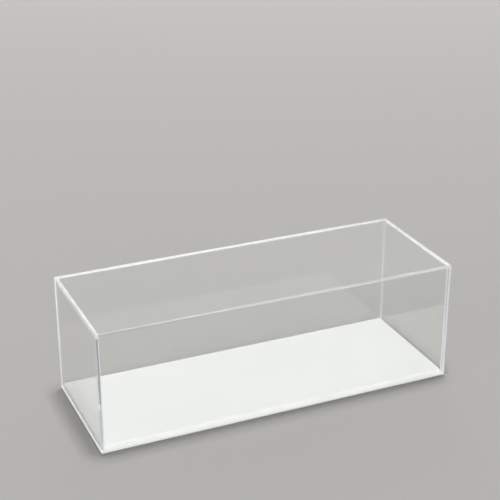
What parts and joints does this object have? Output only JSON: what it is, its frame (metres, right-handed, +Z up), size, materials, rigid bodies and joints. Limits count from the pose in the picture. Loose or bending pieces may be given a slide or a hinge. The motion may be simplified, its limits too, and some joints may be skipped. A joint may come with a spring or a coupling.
{
  "type": "display case",
  "caption": "Long low display case for a scale model: a clear acrylic cover lifts straight off a white acrylic base with a raised plinth.",
  "frame": {"origin": "centre of the base plate's underside, on the table", "axes": "+X along the case's length to the right, +Y across it to the back, +Z up, the way the cover lifts off"},
  "size_m": [0.3, 0.1084, 0.101],
  "materials": {
    "clear_acrylic": "polished",
    "white_acrylic": "gloss"
  },
  "bodies": {
    "base": {"base_plate": "white_acrylic", "plinth_plate": "white_acrylic"},
    "cover": {"top_panel": "clear_acrylic", "front_panel": "clear_acrylic", "back_panel": "clear_acrylic", "left_panel": "clear_acrylic", "right_panel": "clear_acrylic"}
  },
  "joints": [
    {"name": "cover_lift", "type": "slide", "parent": "base", "child": "cover", "axis": [0, 0, 1], "range_m": [0, 0.11]}
  ]
}
